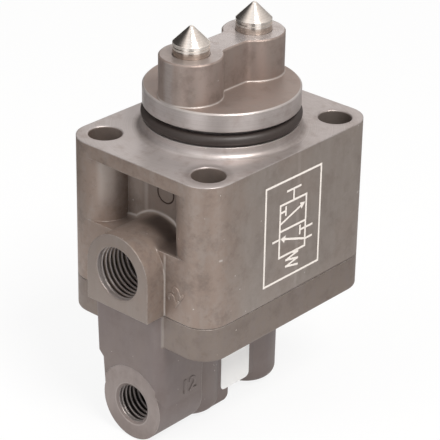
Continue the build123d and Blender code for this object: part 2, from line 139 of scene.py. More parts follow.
class Finish:
    """The node sheet of one material, with a Principled shader ready on it."""

    def __init__(self, name, **settings):
        self.material = bpy.data.materials.new(name)
        self.material.use_nodes = True
        self.nodes = self.material.node_tree.nodes
        self.links = self.material.node_tree.links
        self.nodes.clear()
        self.output = self.nodes.new("ShaderNodeOutputMaterial")
        self.shader = self.nodes.new("ShaderNodeBsdfPrincipled")
        self.links.new(self.shader.outputs[0], self.output.inputs["Surface"])
        for socket, value in settings.items():
            self.shader.inputs[socket.replace("_", " ")].default_value = value

    def node(self, kind, settings=None, sockets=None):
        """A node of a kind, with its settings made first and then its sockets filled."""
        made = self.nodes.new("ShaderNode" + kind)
        for key, value in (settings or {}).items():
            setattr(made, key, value)
        for key, value in (sockets or {}).items():
            self.feed(made.inputs[key], value)
        return made

    def feed(self, socket, value):
        """Links a value or a socket to a socket, or fills it with a plain value."""
        if isinstance(value, Value):
            self.links.new(value.socket, socket)
        elif isinstance(value, bpy.types.NodeSocket):
            self.links.new(value, socket)
        elif isinstance(value, tuple) and len(value) == 3 and socket.type == "RGBA":
            socket.default_value = (*value, 1.0)
        else:
            socket.default_value = value

    def math(self, operation, first, second=0.0, clamp=False):
        """One step of arithmetic on numbers or values."""
        made = self.node("Math", {"operation": operation, "use_clamp": clamp}, {0: first, 1: second})
        return Value(self, made.outputs[0])

    def largest(self, first, *others):
        for other in others:
            first = self.math("MAXIMUM", first, other)
        return first

    def length(self, first, second):
        """How far a point lies from an axis, by its two places across it."""
        return self.math("SQRT", first * first + second * second)

    def step(self, value, start, end):
        """0 before start and 1 after end, with a smooth ramp between them."""
        made = self.node(
            "MapRange",
            {"interpolation_type": "SMOOTHSTEP"},
            {"Value": value, "From Min": start, "From Max": end},
        )
        return Value(self, made.outputs[0])

    def falling(self, value, start, end):
        """1 before start and 0 after end."""
        return 1.0 - self.step(value, start, end)

    def between(self, value, start, full, fade, end):
        """0 outside start and end, and 1 from full to fade."""
        return self.step(value, start, full) * self.falling(value, fade, end)

    def near(self, value, middle, core, edge):
        """1 within core of the middle, and 0 further off than edge."""
        return self.falling(abs(value - middle), core, edge)

    def place(self):
        """Object coordinates as a vector, and their three parts."""
        coordinates = self.node("TexCoord").outputs["Object"]
        split = self.node("SeparateXYZ", None, {0: coordinates})
        return coordinates, [Value(self, split.outputs[axis]) for axis in range(3)]

    def upward(self):
        """How much the surface faces up, from -1 to 1."""
        normal = self.node("NewGeometry").outputs["Normal"]
        return Value(self, self.node("SeparateXYZ", None, {0: normal}).outputs[2])

    def stretched(self, vector, scale):
        """The same vector scaled along its axes, which draws noise out along the small ones."""
        return self.node("VectorMath", {"operation": "MULTIPLY"}, {0: vector, 1: scale}).outputs[0]

    def rings(self, away, z, scale):
        """A vector that changes only away from an axis and along it, for marks of the lathe."""
        return self.node("CombineXYZ", None, {0: away * scale, 1: 0.0, 2: z * scale}).outputs[0]

    def noise(self, vector, size, detail=2.0, roughness=0.5):
        """Soft noise from 0 to 1 whose grains are about size metres across."""
        made = self.node(
            "TexNoise",
            {"noise_dimensions": "3D"},
            {"Vector": vector, "Scale": 1.0 / size, "Detail": detail, "Roughness": roughness},
        )
        return Value(self, made.outputs["Fac"])

    def patches(self, vector, size, detail, roughness, low, high):
        """Soft noise turned into patches: 0 where it is under low, and 1 where it is over high."""
        return self.step(self.noise(vector, size, detail, roughness), low, high)

    def blend(self, amount, first, second):
        """A colour between two, each a colour or a link."""
        made = self.node("Mix", {"data_type": "RGBA"})
        self.feed(made.inputs[0], amount)
        self.feed(made.inputs[6], first)
        self.feed(made.inputs[7], second)
        return made.outputs[2]

    def bump(self, height, strength, distance, normal=None):
        """The normal of a surface that a height from 0 to 1 raises by distance metres."""
        sockets = {"Height": height, "Strength": strength, "Distance": distance}
        if normal is not None:
            sockets["Normal"] = normal
        return self.node("Bump", None, sockets).outputs[0]

    def rounded_edges(self, radius):
        """The normal that soft edges of a radius would have, and how much it turns there."""
        soft = self.node("Bevel", {"samples": 6}, {"Radius": radius}).outputs[0]
        hard = self.node("NewGeometry").outputs["Normal"]
        same = self.node("VectorMath", {"operation": "DOT_PRODUCT"}, {0: soft, 1: hard}).outputs["Value"]
        return soft, 1.0 - Value(self, same)

    def finish(self, **sockets):
        """Fills the shader's sockets and hands over the material."""
        for socket, value in sockets.items():
            self.feed(self.shader.inputs[socket.replace("_", " ")], value)
        return self.material


def deselect():
    """Leaves edit mode and lets go of every object."""
    if bpy.context.object and bpy.context.object.mode != "OBJECT":
        bpy.ops.object.mode_set(mode="OBJECT")
    bpy.ops.object.select_all(action="DESELECT")


def pick(piece):
    """Makes one piece the only selected and the active one."""
    deselect()
    piece.select_set(True)
    bpy.context.view_layer.objects.active = piece


def settle(piece, name):
    """Puts the place, turn and scale of a piece into its mesh, and names it."""
    pick(piece)
    bpy.ops.object.transform_apply(location=True, rotation=True, scale=True)
    piece.name = name
    piece.data.name = name
    return piece


def apply_modifiers(piece):
    """Turns a piece's modifiers into its mesh."""
    pick(piece)
    for modifier in list(piece.modifiers):
        bpy.ops.object.modifier_apply(modifier=modifier.name)


def join(pieces, name):
    """Makes several pieces one, under one name."""
    pick(pieces[0])
    for piece in pieces[1:]:
        piece.select_set(True)
    bpy.ops.object.join()
    return settle(bpy.context.object, name)


def dress(piece, material, body):
    """Gives a piece its material, and the body that it belongs to."""
    piece.data.materials.clear()
    piece.data.materials.append(material)
    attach(piece, body)


# Camera, fitted to the photograph
camera_azimuth = math.radians(41.55)
camera_elevation = math.radians(26.76)
camera_roll = math.radians(1.08)
camera_distance = 525.9 * MM
camera_target = Vector((11.776, -13.107, -19.2)) * MM
camera_lens = 165.33
camera_sensor = 36.0
view_right = Vector((math.cos(camera_azimuth), math.sin(camera_azimuth), 0.0))
view_front = Vector((math.sin(camera_azimuth), -math.cos(camera_azimuth), 0.0))


def place_camera():
    """Puts the camera where the photograph was taken from, with its slight roll."""
    back = view_front * math.cos(camera_elevation) + Vector((0.0, 0.0, math.sin(camera_elevation)))
    up = back.cross(view_right)
    rolled_right = view_right * math.cos(camera_roll) + up * math.sin(camera_roll)
    rolled_up = up * math.cos(camera_roll) - view_right * math.sin(camera_roll)
    data = bpy.data.cameras.new("camera")
    data.lens = camera_lens
    data.sensor_width = camera_sensor
    data.clip_start = 0.01
    data.clip_end = 20.0
    camera = bpy.data.objects.new("camera", data)
    bpy.context.scene.collection.objects.link(camera)
    turn = Matrix((rolled_right, rolled_up, back)).transposed().to_4x4()
    camera.matrix_world = Matrix.Translation(camera_target + back * camera_distance) @ turn
    bpy.context.scene.camera = camera


# Studio, with lights as (place, size, power, colour)
lights = {
    "key": ((0.55, -0.15, 0.75), 0.35, 7.0, (1.0, 0.97, 0.93)),
    "fill": ((-0.35, -0.75, 0.35), 0.5, 3.0, (1.0, 0.98, 0.96)),
}
world_strength = 0.62
backdrop_white = (1.0, 1.0, 1.0)
floor_grey = (0.82, 0.82, 0.82)
floor_glow = 0.86
floor_z = lower_low[2] - 0.3 * MM
card_colour = (1.0, 0.955, 0.925)

# Reflection cards as (middle, turn, size, glow, span), with the middle along view_right, view_front and up
side_on = math.pi / 2
cards = {
    "left_card": ((-0.078, -0.10, 0.10), side_on, (0.36, 0.30), (0.05, 1.05), (0.080, 0.175)),
    "right_card": ((0.088, -0.10, 0.085), side_on, (0.36, 0.33), (0.34, 0.85), (0.01, 0.15)),
    "front_card": ((-0.008, 0.17, -0.03), 0.0, (0.090, 0.10), (0.10, 0.10), (-0.5, 0.5)),
    "lens_card": ((-0.008, 0.20, 0.36), 0.0, (0.12, 0.30), (0.62, 0.62), (-0.5, 0.5)),
    "rear_card": ((0.0, -1.0, 0.55), 0.0, (1.6, 1.0), (0.42, 1.0), (-0.16, 0.12)),
}


def area_light(name, place, size, power, colour):
    """A square light that faces the origin."""
    data = bpy.data.lights.new(name, "AREA")
    data.shape = "SQUARE"
    data.size = size
    data.energy = power
    data.color = colour
    light = bpy.data.objects.new(name, data)
    bpy.context.scene.collection.objects.link(light)
    light.location = place
    light.rotation_euler = (-Vector(place)).to_track_quat("-Z", "Y").to_euler()


def white_studio():
    """A world that is white to the camera and in reflections, and plain soft light elsewhere."""
    world = bpy.data.worlds.new("studio")
    bpy.context.scene.world = world
    world.use_nodes = True
    nodes = world.node_tree.nodes
    links = world.node_tree.links
    nodes.clear()
    output = nodes.new("ShaderNodeOutputWorld")
    path = nodes.new("ShaderNodeLightPath")
    seen = nodes.new("ShaderNodeMath")
    seen.operation = "MAXIMUM"
    links.new(path.outputs["Is Camera Ray"], seen.inputs[0])
    links.new(path.outputs["Is Transmission Ray"], seen.inputs[1])
    shown = nodes.new("ShaderNodeMath")
    shown.operation = "MAXIMUM"
    links.new(seen.outputs[0], shown.inputs[0])
    links.new(path.outputs["Is Glossy Ray"], shown.inputs[1])
    strength = nodes.new("ShaderNodeMapRange")
    strength.inputs["To Min"].default_value = world_strength
    strength.inputs["To Max"].default_value = 1.0
    links.new(shown.outputs[0], strength.inputs["Value"])
    background = nodes.new("ShaderNodeBackground")
    background.inputs["Color"].default_value = (*backdrop_white, 1.0)
    links.new(strength.outputs[0], background.inputs["Strength"])
    links.new(background.outputs[0], output.inputs["Surface"])


def studio_floor():
    """A pale floor that looks white to the camera but keeps a soft shadow."""
    deselect()
    bpy.ops.mesh.primitive_plane_add(size=6.0, location=(0.0, 0.0, floor_z))
    floor = settle(bpy.context.object, "studio_floor")
    sheet = Finish("studio_floor", Base_Color=(*floor_grey, 1.0), Roughness=0.9)
    path = sheet.node("LightPath")
    rays = [Value(sheet, path.outputs[ray]) for ray in ("Is Camera Ray", "Is Glossy Ray")]
    seen = sheet.largest(*rays)
    glow = sheet.node("Emission", None, {"Color": backdrop_white, "Strength": 1.0})
    shaders = {0: seen * floor_glow, 1: sheet.shader.outputs[0], 2: glow.outputs[0]}
    mixed = sheet.node("MixShader", None, shaders)
    sheet.links.new(mixed.outputs[0], sheet.output.inputs["Surface"])
    floor.data.materials.append(sheet.material)


def reflection_card(name, middle, turn, size, glow, span):
    """An upright card that only reflections see, whose glow changes over a span of metres.

    The span runs up the card where it is turned, or else along it towards the camera's right.
    """
    deselect()
    bpy.ops.mesh.primitive_plane_add(size=1.0)
    card = bpy.context.object
    card.scale = (*size, 1.0)
    bpy.ops.object.transform_apply(scale=True)
    place = view_right * middle[0] + view_front * middle[1] + Vector((0.0, 0.0, middle[2]))
    upright = Matrix.Rotation(camera_azimuth + turn, 4, "Z") @ Matrix.Rotation(math.pi / 2, 4, "X")
    card.matrix_world = Matrix.Translation(place) @ upright
    settle(card, name)
    sheet = Finish(name)
    spot, (x, y, z) = sheet.place()
    along = z if turn else x * view_right.x + y * view_right.y
    light = sheet.node("Emission", None, {"Color": card_colour})
    sheet.feed(light.inputs["Strength"], glow[0] + (glow[1] - glow[0]) * sheet.step(along, *span))
    sheet.links.new(light.outputs[0], sheet.output.inputs["Surface"])
    card.data.materials.append(sheet.material)
    card.visible_camera = False
    card.visible_diffuse = False
    card.visible_shadow = False
    card.visible_transmission = False


# Colours of the finishes
cast_upper_colour = (0.300, 0.262, 0.238)
cast_upper_brown = (0.302, 0.236, 0.201)
cast_upper_pale = (0.350, 0.312, 0.288)
turned_dull_colour = (0.326, 0.258, 0.230)
cast_lower_colour = (0.196, 0.163, 0.157)
cast_lower_brown = (0.228, 0.188, 0.164)
cast_lower_pale = (0.228, 0.196, 0.188)
spot_face_colour = (0.285, 0.243, 0.228)
machined_colour = (0.548, 0.500, 0.492)
# This darker colour is for dirt, and also for painted shade in the castings' recesses and undersides
grime_and_shade_colour = (0.150, 0.113, 0.098)
blotch_colour = (0.190, 0.140, 0.110)
# This colour is painted shade, deep in the thread valleys and round the outlet boss
hollow_shade_colour = (0.045, 0.035, 0.031)
# This pale colour is for worn edges and specks, and also for painted highlight lines
edge_colour = (0.640, 0.600, 0.570)
plunger_colour = (0.920, 0.860, 0.805)
plunger_stain = (0.62, 0.55, 0.49)
plunger_line = (0.42, 0.35, 0.29)
plunger_foot = (0.40, 0.31, 0.24)
rubber_colour = (0.034, 0.025, 0.022)
rubber_dust = (0.085, 0.080, 0.078)
gasket_colour = (0.085, 0.070, 0.060)
seal_colour = (0.020, 0.020, 0.020)
label_colour = (0.930, 0.930, 0.930)
label_crease_shade = (0.86, 0.85, 0.84)
etch_colour = (0.740, 0.690, 0.645)
etch_worn = (0.62, 0.58, 0.55)
screw_colour = (0.42, 0.41, 0.40)
# This dark metal is painted shade, standing for the shadowed groove of the ejector's ring mark
ring_groove_shade_colour = (0.120, 0.090, 0.078)
sleeve_colour = (0.68, 0.50, 0.22)
spool_colour = (0.66, 0.66, 0.68)
seat_colour = (0.66, 0.48, 0.22)
spring_colour = (0.52, 0.52, 0.54)

# Grain sizes of the castings' noise, from clouds down to sand
cloud_size = 16.0 * MM
smudge_size = 6.0 * MM
stain_size = 4.5 * MM
run_size = 2.6 * MM
blotch_size = 2.4 * MM
mottle_size = 1.6 * MM
speck_size = 1.1 * MM
pit_size = 1.0 * MM
sand_size = 0.26 * MM
worn_edge_r = 0.45 * MM

# Soft spans of the castings' zones, as (start, end), or (start, full, fade, end) where they also fall
brown_front_y = (-31.0 * MM, -14.0 * MM)
machined_z = (-0.35 * MM, -0.1 * MM)
crown_rear_y = (-15.0 * MM, -3.0 * MM)
crown_upward = (0.90, 0.97)
outlet_depth_y = (24.0 * MM, 25.0 * MM)
pale_thread_x = (-5.0 * MM, -1.5 * MM)
pocket_back_y = (23.1 * MM, 23.5 * MM)
pocket_side_x = (15.0 * MM, 17.0 * MM)
# The shade and nook spans place painted shade round the outlet boss and beside it
shade_x = (-4.0 * MM, 1.0 * MM)
shade_y = (23.3 * MM, 23.8 * MM, 27.0 * MM, 31.0 * MM)
shade_z = (-27.0 * MM, -24.0 * MM)
nook_x = (4.0 * MM, 9.0 * MM, 13.5 * MM, 15.0 * MM)
nook_y = (31.5 * MM, 33.0 * MM)
nook_z = (-25.0 * MM, -24.0 * MM, -19.5 * MM, -17.5 * MM)
root_line_z = (-18.0 * MM, -17.0 * MM)
wall_bend_z = (-19.0 * MM, -18.0 * MM)
# The next spans place painted light on the left column's shaded flank
lit_column_y = (-27.0 * MM, -25.0 * MM)
lit_column_z = (-20.0 * MM, -12.0 * MM, -5.0 * MM, -4.3 * MM)
dirty_seam_y = (-12.0 * MM, 4.0 * MM)
right_turn = (0.05, 0.35)
sideways_turn = (0.55, 0.9)
right_of_hole_x = (-8.0 * MM, 8.0 * MM)
supply_depth_y = (-21.0 * MM, -20.0 * MM)
downward = (-0.6, -0.2)
# Over this span the lower casting is darker towards the bottom
darker_low_z = (-79.5 * MM, -73.0 * MM)
chipped_low_z = (-76.0 * MM, -68.0 * MM)

# Middles of three pale lines on the upper casting: a painted highlight at the wall's bend, painted light on
# the left column's flank, and the cast line
wall_bend_x = -5.2 * MM
lit_column_x = -12.4 * MM
cast_line_y = 1.9 * MM


def cast_metal(name, colour, dark, pale, dull_colour, zones):
    """Fine cast aluminium, with the dull, bright, dirty and worn places that zones finds, and its painted
    shade and painted highlight lines.
    """
    sheet = Finish(name, Metallic=0.62, IOR=1.45)
    spot, (x, y, z) = sheet.place()
    away = sheet.length(x, y)
    zone = zones(sheet, x, y, z, away)
    dull = zone["dull"]
    bright = zone["bright"]
    unworked = 1.0 - bright
    mottle = sheet.noise(spot, mottle_size, 4.0, 0.65)
    turned = sheet.noise(sheet.rings(away, z, 5.0), mottle_size, 3.0, 0.65)
    cloud = sheet.noise(spot, cloud_size, 2.0, 0.5)
    run = sheet.noise(sheet.stretched(spot, (1.0, 1.0, 0.22)), run_size, 3.0, 0.6)

    brown = sheet.math("ADD", zone["brown"], sheet.step(cloud, 0.42, 0.68) * 0.35, clamp=True)
    tone = sheet.blend(brown, colour, dark)
    tone = sheet.blend(sheet.step(run * 0.5 + mottle * 0.5, 0.42, 0.66) * 0.42, tone, pale)
    worked = sheet.blend(sheet.step(run, 0.35, 0.7) * 0.4, dull_colour, colour)
    tone = sheet.blend(dull, tone, worked)
    lathe = sheet.step(turned * 0.6 + cloud * 0.4, 0.38, 0.64) * 0.5
    cut = sheet.blend(lathe, machined_colour, cast_upper_pale)
    cut = sheet.blend(sheet.patches(spot, stain_size, 4.0, 0.65, 0.48, 0.72) * 0.45, cut, dull_colour)
    tone = sheet.blend(bright, tone, cut)

    blotch = sheet.patches(spot, blotch_size, 4.0, 0.7, 0.54, 0.74) * (0.10 + 0.30 * zone["brown"])
    tone = sheet.blend(blotch * unworked, tone, blotch_colour)
    smudge = sheet.patches(spot, smudge_size, 5.0, 0.7, 0.46, 0.70) * (0.26 + 0.2 * zone["brown"]) * unworked
    # Dirt, and painted shade in the recesses and undersides, darken the cast surface together
    tone = sheet.blend(sheet.largest(zone["grime_and_shade"] * (0.35 + 0.9 * mottle), smudge), tone, grime_and_shade_colour)

    soft, turn = sheet.rounded_edges(worn_edge_r)
    crest = sheet.step(z, tower_top - 1.0 * MM, tower_top - 0.8 * MM)
    wear = sheet.step(turn, 0.02, 0.25) * sheet.step(mottle, 0.3, 0.6) * (0.45 - 0.4 * crest)
    chipped = sheet.falling(z, *chipped_low_z) * 0.03
    speck = sheet.step(sheet.noise(spot, speck_size, 1.0) + chipped, 0.79, 0.81) * 0.7
    # Worn edges, specks and painted highlight lines take the same pale colour
    tone = sheet.blend(sheet.largest(wear, zone["line"], speck), tone, edge_colour)
    # Deep painted shade in the thread valleys and round the outlet boss
    tone = sheet.blend(zone["deep"], tone, hollow_shade_colour)

    unfinished = 1.0 - sheet.largest(dull, bright)
    height = sheet.noise(spot, sand_size, 3.0, 0.6) * (0.2 + 0.8 * unfinished)
    height = height + sheet.noise(spot, pit_size, 2.0) * 0.7 * unfinished
    height = height + 0.25 * turned * bright * (1.0 - zone["smooth"])
    return sheet.finish(
        Base_Color=tone,
        Roughness=0.45 + 0.10 * mottle - 0.08 * dull - 0.16 * bright - 0.10 * zone["smooth"] + 0.06 * turned,
        Normal=sheet.bump(height, 0.55, 0.05 * MM, soft),
    )


def bolt_hole(sheet, x, y):
    """How far a point lies from the nearest bolt hole's axis."""
    return sheet.length(abs(x) - bolt_x, abs(y) - bolt_y)


def upper_zones(sheet, x, y, z, away):
    """Where the upper casting is browner, turned dull, cut bright, smooth and dirty, and where it has painted
    shade, deep painted shade and painted highlight lines.
    """
    reach = sheet.length(x, z - outlet_z)
    outer = sheet.step(abs(y), *outlet_depth_y)
    bore = sheet.falling(reach, mouth_land_r, mouth_land_r + 0.08 * MM) * outer
    port_face = sheet.step(abs(y), outlet_face_y - 0.3 * MM, outlet_face_y - 0.1 * MM) * (1.0 - bore)
    inside = sheet.falling(away, spigot_r - 0.6 * MM, spigot_r - 0.25 * MM)
    disc = inside * sheet.step(z, spigot_top - 0.5 * MM, spigot_top - 0.2 * MM)
    crown = sheet.step(sheet.upward(), *crown_upward)
    crown = crown * sheet.step(z, tower_top - 0.5 * MM, tower_top - 0.1 * MM)
    dull = disc * (1.0 - crown * (0.45 + 0.55 * sheet.step(y, *crown_rear_y)))
    above = sheet.step(z, *machined_z)

    brown = sheet.falling(y, *brown_front_y)
    brown = sheet.largest(brown, sheet.step(z, spigot_top, spigot_top + 1.0 * MM) * 0.7)
    shade, nook = pocket_shades(sheet, x, y, z, reach)
    # Painted shade in the outlet thread's valleys, lighter on the left
    thread = sheet.step(reach, mouth_land_r + 0.05 * MM, mouth_land_r + 0.4 * MM) * outer
    thread = thread * sheet.falling(reach, outlet_r + 0.1 * MM, outlet_r + 0.2 * MM) * (1.0 - port_face)
    thread = thread * (1.0 - 0.6 * sheet.falling(x, *pale_thread_x))
    # Painted shade on the lower part of the outlet thread
    thread_foot = sheet.falling(reach, outlet_r, outlet_r + 0.1 * MM) * outer
    thread_foot = thread_foot * sheet.falling(z, outlet_z - 5.0 * MM, outlet_z - 2.5 * MM)

    # Painted shade inside the pocket under the flange
    pocket_shade = sheet.falling(abs(y), *pocket_back_y) * sheet.falling(abs(x), *pocket_side_x)
    hole = sheet.falling(bolt_hole(sheet, x, y), bolt_r + 0.1 * MM, bolt_r + 0.3 * MM)
    seam = sheet.near(z, seam_z + 0.1 * MM, 0.1 * MM, 0.35 * MM) * sheet.step(y, *dirty_seam_y)
    # Painted shade at the outlet thread's foot, round the boss and in the nook
    shades = sheet.largest(thread_foot * 0.4, nook * 0.8, shade * 0.8) * (1.0 - above)
    # Dirt on the port faces, the seam and the bolt holes, and painted shade in the pocket
    dirt_and_pocket_shade = sheet.largest(port_face * 0.30, seam, pocket_shade * 0.4, hole * 0.55) * (1.0 - above)
    return {
        "brown": brown * (1.0 - 0.8 * port_face),
        "dull": dull,
        "bright": sheet.largest(above * (1.0 - dull), bore),
        "smooth": crown,
        "grime_and_shade": sheet.largest(dirt_and_pocket_shade, shades, flange_dirt_and_shade(sheet, x, y, z, away) * above),
        "deep": sheet.largest(thread, shade * 0.5, nook * 0.3),
        "line": upper_lines(sheet, x, y, z, away, reach, inside),
    }


def pocket_shades(sheet, x, y, z, reach):
    """Painted shade on the floor round the outlet boss, and in the nook between the boss and the right
    column.
    """
    shade = sheet.step(x, *shade_x) * sheet.between(abs(y), *shade_y) * sheet.step(z, *shade_z)
    shade = shade * sheet.falling(reach, boss_root_r - 0.4 * MM, boss_root_r)
    nook = sheet.between(x, *nook_x) * sheet.falling(abs(y), *nook_y) * sheet.between(z, *nook_z)
    return shade, nook


def flange_dirt_and_shade(sheet, x, y, z, away):
    """Darker places of the machined top: painted shade at the spigot's foot on the sides that the camera sees
    and on the camera's right, and dirt beside the holes.
    """
    turn = (view_right.x * x + view_right.y * y) / away
    # Painted shade on the spigot's foot, on its sides as the camera sees them
    foot = sheet.falling(away, spigot_r + 1.2 * MM, spigot_r + 3.0 * MM)
    foot = foot * sheet.falling(z, spigot_foot_z, spigot_foot_z + 1.0 * MM)
    beside_hole = sheet.falling(bolt_hole(sheet, x, y), bolt_r + 0.8 * MM, bolt_r + 2.6 * MM)
    beside_hole = beside_hole * sheet.step(x, *right_of_hole_x)
    # Painted shade over the top on the camera's right
    right_side = sheet.step(turn, *right_turn) * sheet.step(away, spigot_r - 0.4 * MM, spigot_r - 0.2 * MM)
    foot = foot * sheet.step(abs(turn), *sideways_turn)
    return sheet.largest(foot * 0.6, beside_hole * 0.4, right_side * 0.25)


def upper_lines(sheet, x, y, z, away, reach, inside):
    """Painted highlights along the upper casting's edges and pocket walls, painted light on the left column's
    flank, and a pale cast line.
    """
    # Painted highlights at the tower foot, the disc rim and the corner beside the boss
    root = sheet.between(
        z, spigot_top + 0.01 * MM, spigot_top + 0.08 * MM, spigot_top + 0.30 * MM, spigot_top + 0.5 * MM
    )
    rim = sheet.near(away, spigot_r - 0.1 * MM, 0.2 * MM, 0.4 * MM)
    rim = rim * sheet.near(z, spigot_top - 0.15 * MM, 0.2 * MM, 0.4 * MM)
    corner = sheet.near(x, boss_half, 0.2 * MM, 0.55 * MM)
    corner = corner * sheet.near(abs(y), column_front_y, 0.15 * MM, 0.5 * MM)
    corner = corner * sheet.falling(z, outlet_z + 6.0 * MM, outlet_z + 8.0 * MM)

    # Painted highlights along the pocket wall's fillet over the boss, and at the wall's bend
    slant = sheet.largest(abs(x) - pocket_wall_half, 0.0) * pocket_wall_slant
    wall = sheet.near(abs(y), pocket_wall_y + slant + 0.3 * MM, 0.3 * MM, 0.7 * MM)
    beside = sheet.step(abs(x), boss_shoulder_x - 0.1 * MM, boss_shoulder_x + 0.1 * MM)
    ridge = abs(reach - boss_root_r) * (1.0 - beside) + abs(z - boss_root_z) * beside
    ridge = sheet.falling(ridge, 0.05 * MM, 0.45 * MM) * sheet.falling(z, *root_line_z)
    bend = sheet.near(x, wall_bend_x, 0.1 * MM, 1.0 * MM) * sheet.step(z, *wall_bend_z)

    # Painted light on the left column's flank, which lies in shade
    lit_flank = sheet.near(x, lit_column_x, 0.8 * MM, 2.6 * MM)
    lit_flank = lit_flank * sheet.falling(y, *lit_column_y) * sheet.between(z, *lit_column_z)
    cast_line = sheet.near(y, cast_line_y, 0.2 * MM, 0.9 * MM)
    cast_line = cast_line * sheet.step(x, flange_half_x - 0.3 * MM, flange_half_x - 0.1 * MM)
    edges = sheet.largest(root * inside * 0.5, rim * 0.3, corner * 0.6)
    pocket_lines = sheet.largest(ridge * 0.6, bend * 0.22) * wall
    return sheet.largest(edges, pocket_lines, lit_flank * 0.3, cast_line * 0.10)


def lower_zones(sheet, x, y, z, away):
    """The same places of the lower casting, whose band is as brown as the upper casting, with painted shade
    on the faces that look down, deep painted shade in the thread and painted highlight lines.
    """
    band = sheet.step(z, band_z - 0.4 * MM, band_z + 0.3 * MM)
    band = band * sheet.step(y, -column_front_y - 0.3 * MM, -column_front_y - 0.1 * MM)
    face = sheet.falling(y, -supply_face_y + 0.05 * MM, -supply_face_y + 0.15 * MM)
    port = sheet.falling(y, *supply_depth_y)
    reach = sheet.length(x, z - supply_z)
    # Painted shade in the supply thread's valleys
    thread = sheet.step(reach, supply_land_r + 0.05 * MM, supply_land_r + 0.35 * MM)
    thread = thread * sheet.falling(reach, supply_r + 0.1 * MM, supply_r + 0.2 * MM)
    thread = thread * sheet.step(y, -supply_face_y + 1.0 * MM, -supply_face_y + 1.3 * MM) * port
    # Painted highlights at the supply port's rim and the block's corner
    rim = sheet.near(reach, supply_r + 0.1 * MM, 0.1 * MM, 0.3 * MM) * face
    corner = sheet.near(x, block_half_x, 0.2 * MM, 0.6 * MM)
    corner = corner * sheet.near(y, -column_front_y, 0.2 * MM, 0.6 * MM)
    corner = corner * sheet.step(z, band_z, band_z + 0.5 * MM)
    hole = sheet.falling(bolt_hole(sheet, x, y), bolt_r + 0.1 * MM, bolt_r + 0.3 * MM)
    # Painted shade on the faces that look down
    underside_shade = sheet.falling(sheet.upward(), *downward) * 0.7
    return {
        "brown": band,
        "dull": face * sheet.falling(reach, spot_face_r, spot_face_r + 0.2 * MM),
        "bright": sheet.falling(reach, supply_land_r, supply_land_r + 0.1 * MM) * port,
        "smooth": 0.0,
        "grime_and_shade": sheet.largest(hole * 0.9, underside_shade, sheet.falling(z, *darker_low_z) * 0.5),
        "deep": thread,
        "line": sheet.largest(rim * 0.12, corner * 0.18),
    }


def turned_steel():
    """Bright plungers with fine turned rings, satin from their mark line up and dull below it."""
    sheet = Finish("turned_steel")
    spot, (x, y, z) = sheet.place()
    away = sheet.length(x, abs(y) - train_y)
    lines = sheet.noise(sheet.rings(away, z, 3.2), 1.0 * MM, 4.0, 0.75)
    stain = sheet.patches(spot, 1.8 * MM, 3.0, 0.5, 0.45, 0.8)
    tone = sheet.blend(stain * 0.4, plunger_colour, plunger_stain)
    tone = sheet.blend(sheet.step(lines, 0.45, 0.72) * 0.4, tone, plunger_line)
    low = sheet.falling(z, mark_line_z - 1.0 * MM, mark_line_z - 0.6 * MM)
    tone = sheet.blend(low * 0.55, tone, plunger_foot)
    satin = sheet.step(z, mark_line_z - 0.9 * MM, mark_line_z - 0.6 * MM)
    satin = satin * sheet.step(away, plunger_r - 0.15 * MM, plunger_r - 0.05 * MM)
    satin = satin * (1.0 - 0.6 * sheet.step(y, -1.0 * MM, 1.0 * MM))
    return sheet.finish(
        Base_Color=tone,
        Metallic=1.0 - 0.22 * satin,
        Roughness=0.11 + 0.10 * lines + 0.16 * satin,
        Normal=sheet.bump(lines, 0.7, 0.03 * MM),
    )


def ring_rubber():
    """The flange's O-ring, with a little dust on it."""
    sheet = Finish("ring_rubber", Metallic=0.0, IOR=1.5)
    spot = sheet.place()[0]
    dust = sheet.noise(spot, 1.5 * MM, 4.0, 0.7)
    tone = sheet.blend(sheet.step(dust, 0.55, 0.85) * 0.35, rubber_colour, rubber_dust)
    return sheet.finish(
        Base_Color=tone,
        Roughness=0.38 + 0.15 * dust,
        Normal=sheet.bump(sheet.noise(spot, 0.3 * MM), 0.2, 0.02 * MM),
    )


def label_film():
    """White film with faint upright creases, which are also painted a little darker as painted shade."""
    sheet = Finish("label_film", Metallic=0.0, Roughness=0.55)
    spot = sheet.place()[0]
    crease = sheet.noise(sheet.stretched(spot, (1.0, 1.0, 0.3)), 4.0 * MM, 2.0)
    # The creases are painted darker as painted shade, beside their bump
    tone = sheet.blend(sheet.step(crease, 0.5, 0.9) * 0.3, label_colour, label_crease_shade)
    return sheet.finish(Base_Color=tone, Normal=sheet.bump(crease, 0.2, 0.1 * MM))


def etched_paint():
    """Pale paint of the etched lines, worn in specks."""
    sheet = Finish("etched_mark", Metallic=0.0)
    spot = sheet.place()[0]
    speck = sheet.noise(spot, 0.35 * MM, 3.0, 0.7)
    tone = sheet.blend(sheet.step(speck, 0.5, 0.8) * 0.35, etch_colour, etch_worn)
    return sheet.finish(Base_Color=tone, Roughness=0.6 + 0.2 * speck)


def plain_metal(name, colour, roughness, scale):
    """A stained metal for the pieces inside, the screws underneath and the ejector's ring."""
    sheet = Finish(name, Metallic=1.0)
    spot = sheet.place()[0]
    stain = sheet.noise(spot, scale, 3.0, 0.6)
    darker = tuple(part * 0.7 for part in colour)
    tone = sheet.blend(sheet.step(stain, 0.4, 0.75) * 0.6, colour, darker)
    return sheet.finish(
        Base_Color=tone,
        Roughness=roughness + 0.12 * stain,
        Normal=sheet.bump(sheet.noise(spot, scale * 0.2), 0.2, 0.02 * MM),
    )


def plain_rubber(name, colour):
    """Matt rubber for the seals inside and the gasket."""
    sheet = Finish(name, Metallic=0.0)
    spot = sheet.place()[0]
    stain = sheet.noise(spot, 1.0 * MM, 3.0, 0.6)
    tone = sheet.blend(stain, colour, tuple(part * 1.6 for part in colour))
    return sheet.finish(Base_Color=tone, Roughness=0.5 + 0.2 * stain)


